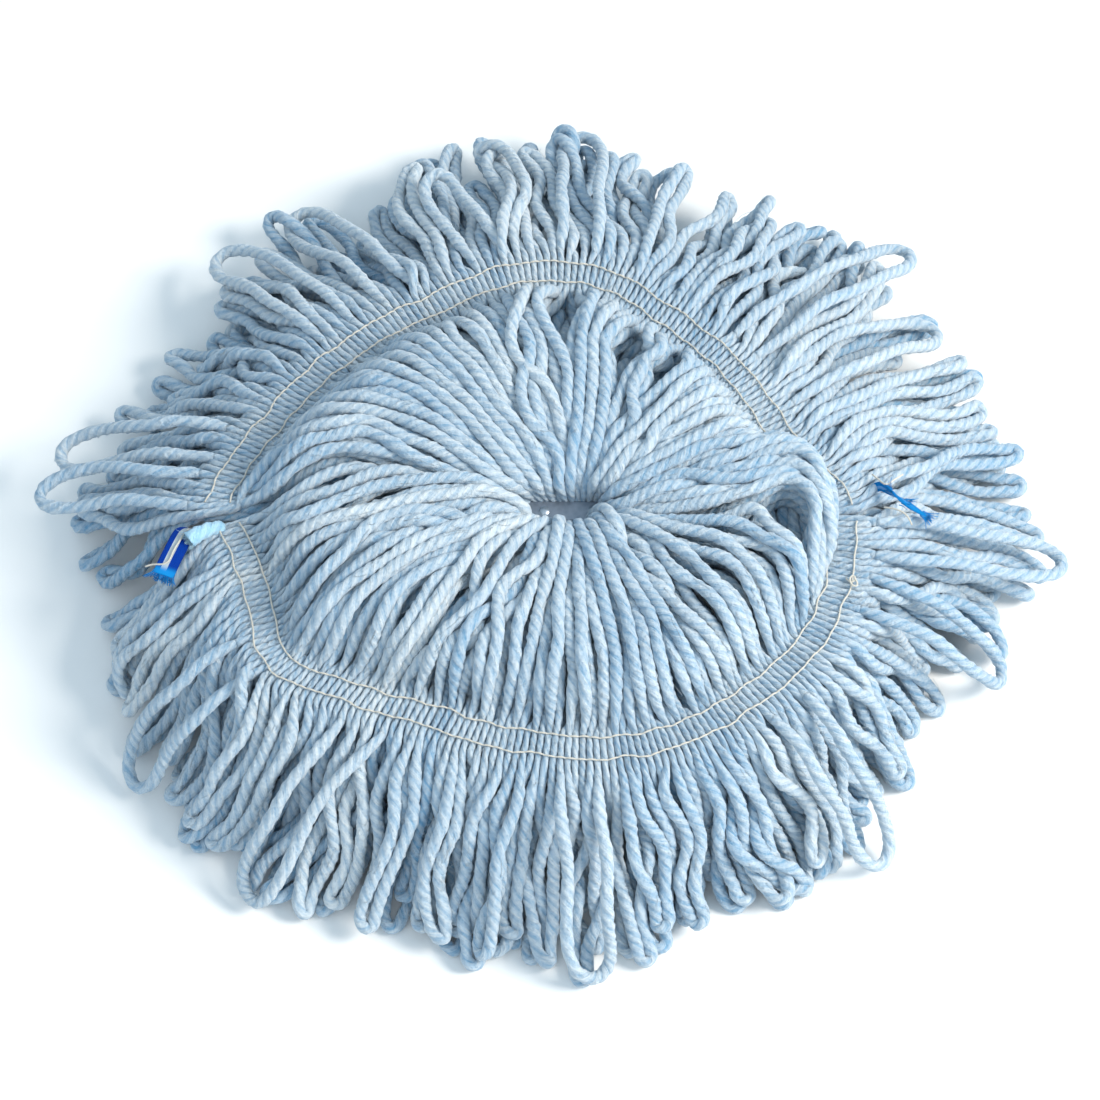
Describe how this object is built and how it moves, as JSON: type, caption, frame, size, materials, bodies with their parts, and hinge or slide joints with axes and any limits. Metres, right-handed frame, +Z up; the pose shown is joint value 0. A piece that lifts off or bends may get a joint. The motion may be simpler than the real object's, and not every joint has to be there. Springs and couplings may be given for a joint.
{
  "type": "string mop head",
  "caption": "Round looped string mop head with a plastic handle socket, a riveted clamp bar and stitched, taped yarn fans, lying floor side up.",
  "frame": {"origin": "centre of the handle socket's mouth, on the surface that the head stands on", "axes": "+Z up, through the socket towards the floor side of the mop; X along the clamp bar; +Y from the front fan to the rear fan"},
  "size_m": [0.4126, 0.3886, 0.08],
  "materials": {
    "yarn": "three-ply twisted, fuzzy",
    "socket_plastic": "moulded, satin",
    "clamp_metal": "galvanised, satin",
    "rivet_metal": "bright",
    "woven_tape": "woven, striped",
    "stitch_thread": "twisted sewing thread"
  },
  "bodies": {
    "root": {"back_curled_loop": "yarn", "back_left_inner_loop": "yarn", "back_left_outer_loop": "yarn", "back_middle_loop": "yarn", "back_right_inner_loop": "yarn", "back_right_outer_loop": "yarn", "clamp_bar": "clamp_metal", "clamp_rivets": "rivet_metal", "front_inner_stitching": "stitch_thread", "front_left_loop": "yarn", "front_middle_loop": "yarn", "front_outer_stitching": "stitch_thread", "front_right_loop": "yarn", "front_tape": "woven_tape", "front_yarn_bundle_01": "yarn", "front_yarn_bundle_02": "yarn", "front_yarn_bundle_03": "yarn", "front_yarn_bundle_04": "yarn", "front_yarn_bundle_05": "yarn", "front_yarn_bundle_06": "yarn", "front_yarn_bundle_07": "yarn", "front_yarn_bundle_08": "yarn", "front_yarn_bundle_09": "yarn", "front_yarn_bundle_10": "yarn", "front_yarn_bundle_11": "yarn", "handle_socket": "socket_plastic", "left_front_loop": "yarn", "left_lower_loop": "yarn", "left_upper_loop": "yarn", "rear_inner_stitching": "stitch_thread", "rear_outer_stitching": "stitch_thread", "rear_tape": "woven_tape", "rear_yarn_bundle_01": "yarn", "rear_yarn_bundle_02": "yarn", "rear_yarn_bundle_03": "yarn", "rear_yarn_bundle_04": "yarn", "rear_yarn_bundle_05": "yarn", "rear_yarn_bundle_06": "yarn", "rear_yarn_bundle_07": "yarn", "rear_yarn_bundle_08": "yarn", "rear_yarn_bundle_09": "yarn", "rear_yarn_bundle_10": "yarn", "rear_yarn_bundle_11": "yarn", "right_lower_loop": "yarn", "right_middle_loop": "yarn", "yarn_cut_end": "yarn", "yarn_waist": "yarn"}
  },
  "joints": []
}
